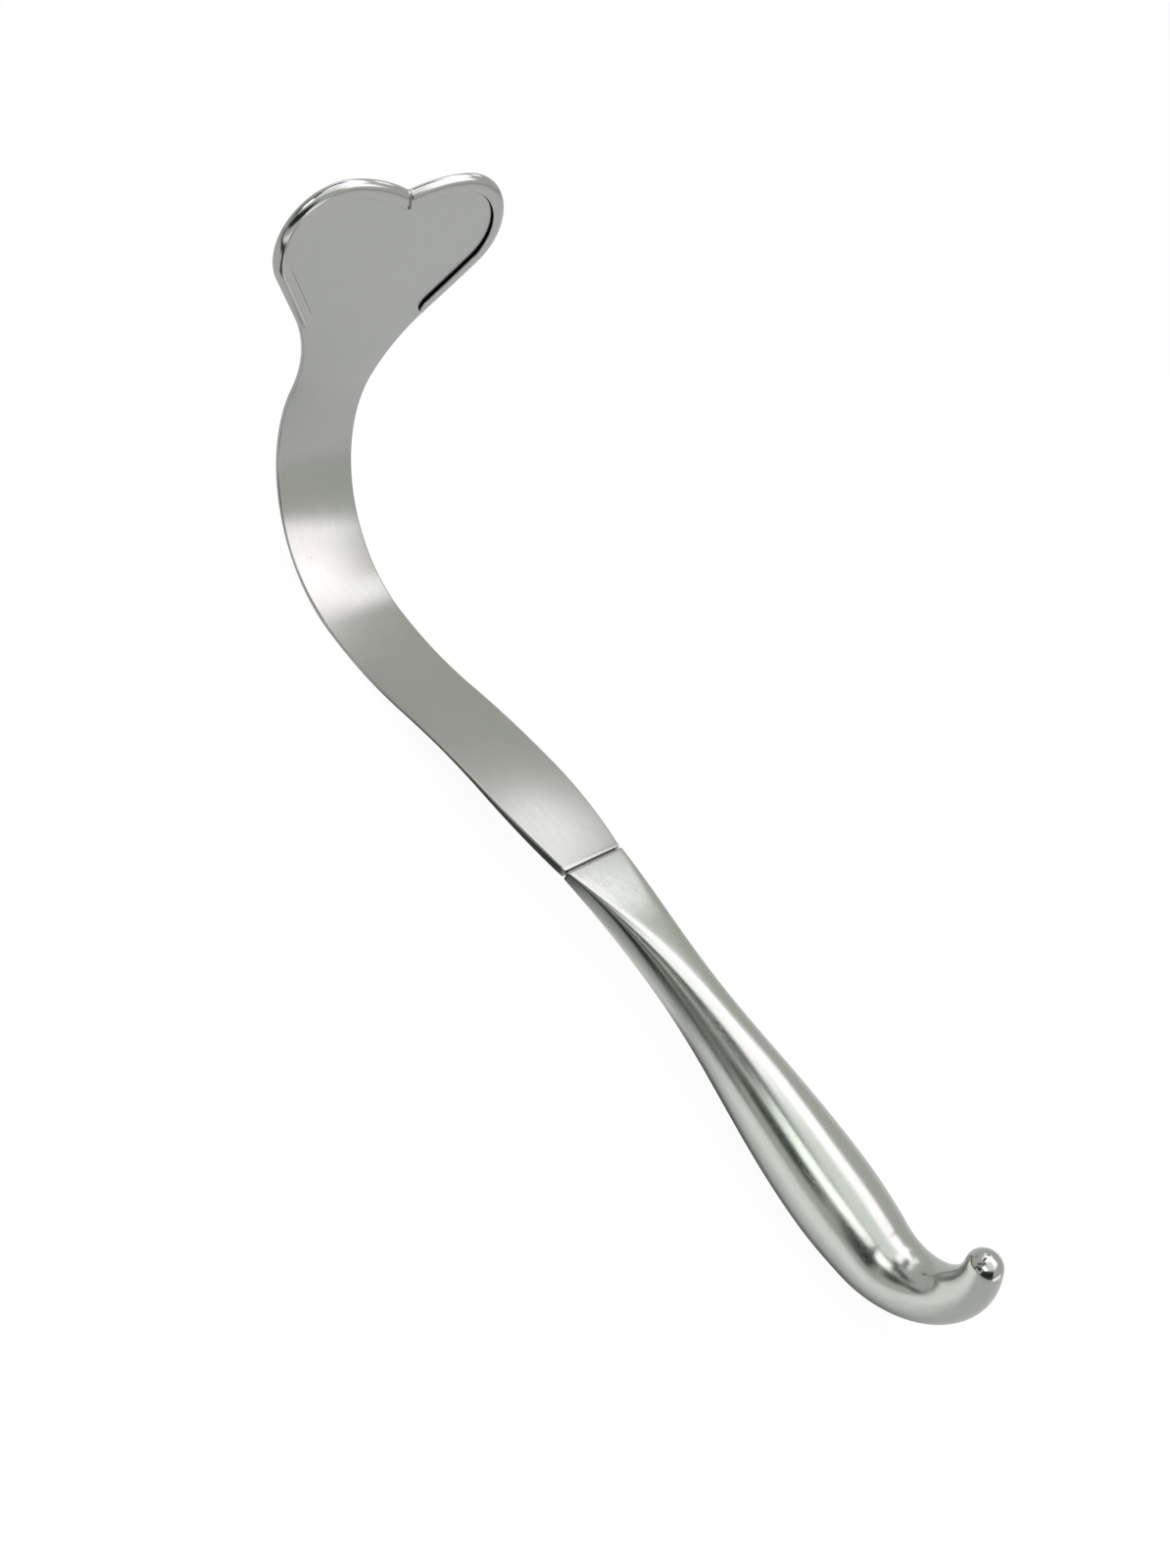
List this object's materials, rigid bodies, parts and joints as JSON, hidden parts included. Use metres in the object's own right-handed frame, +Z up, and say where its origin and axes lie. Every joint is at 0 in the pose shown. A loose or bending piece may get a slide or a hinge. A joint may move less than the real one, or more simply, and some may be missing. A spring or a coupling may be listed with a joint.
{
  "type": "surgical spatula",
  "caption": "Surgical spatula of stainless steel: a flat strap bent up into a heart-shaped plate with a folded rim, and a hollow grip that ends in a hook.",
  "frame": {"origin": "centre of the bounding box on the surface the instrument lies on", "axes": "+X from the hooked grip towards the heart plate, +Y across the strap, +Z up from the surface"},
  "size_m": [0.3184, 0.076, 0.1326],
  "materials": {
    "blade_steel": "satin stainless steel, polished on the folded rim",
    "grip_steel": "polished stainless steel with fine use scratches"
  },
  "bodies": {
    "root": {"blade": "blade_steel", "handle": "grip_steel"}
  },
  "joints": []
}
